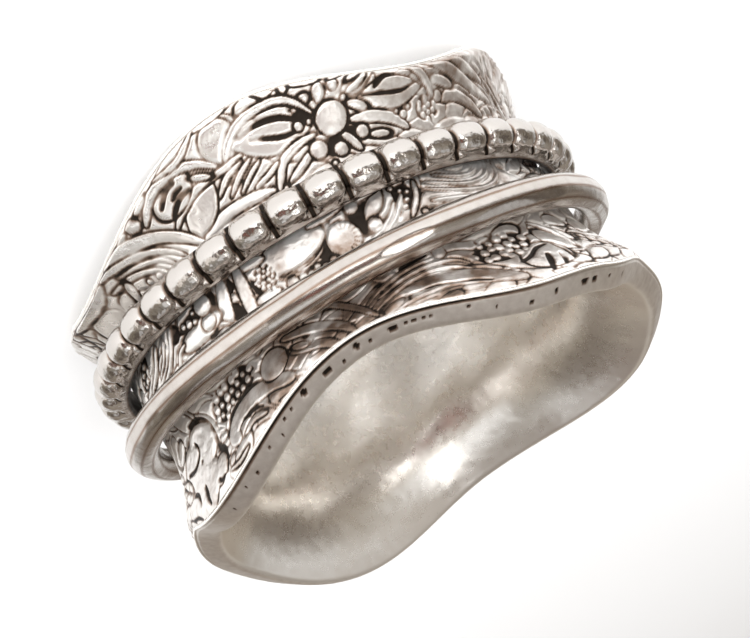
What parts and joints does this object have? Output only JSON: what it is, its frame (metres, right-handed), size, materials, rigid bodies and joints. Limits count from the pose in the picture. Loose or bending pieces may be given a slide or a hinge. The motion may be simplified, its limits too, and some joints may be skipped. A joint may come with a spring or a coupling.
{
  "type": "spinner ring",
  "caption": "Wide silver ring with wavy flared edges and raised floral ornament, with a beaded ring and a hammered ring that spin round its waist.",
  "frame": {"origin": "centre of the ring on the surface that its far edge rests on", "axes": "+Z along the finger hole, from the far edge up to the near edge; -Y towards the side with the near edge's deepest dip"},
  "size_m": [0.0236, 0.0236, 0.014],
  "materials": {
    "band_silver": "cast sterling silver, burnished on its raised parts and oxidised black in its recesses, satin on its edges and polished inside",
    "bead_silver": "polished sterling silver, oxidised black between the beads",
    "wire_silver": "hammered and polished sterling silver"
  },
  "bodies": {
    "band": {"base_band": "band_silver"},
    "beads": {"beaded_spinner": "bead_silver"},
    "wire": {"plain_spinner": "wire_silver"}
  },
  "joints": [
    {"name": "beaded_spin", "type": "hinge", "parent": "band", "child": "beads", "pos_m": [0, 0, 0.0048], "axis": [0.073, 0.0372, 0.9966], "continuous": true},
    {"name": "plain_spin", "type": "hinge", "parent": "band", "child": "wire", "pos_m": [0, 0, 0.00746], "axis": [0.0608, 0.1194, 0.991], "continuous": true}
  ]
}
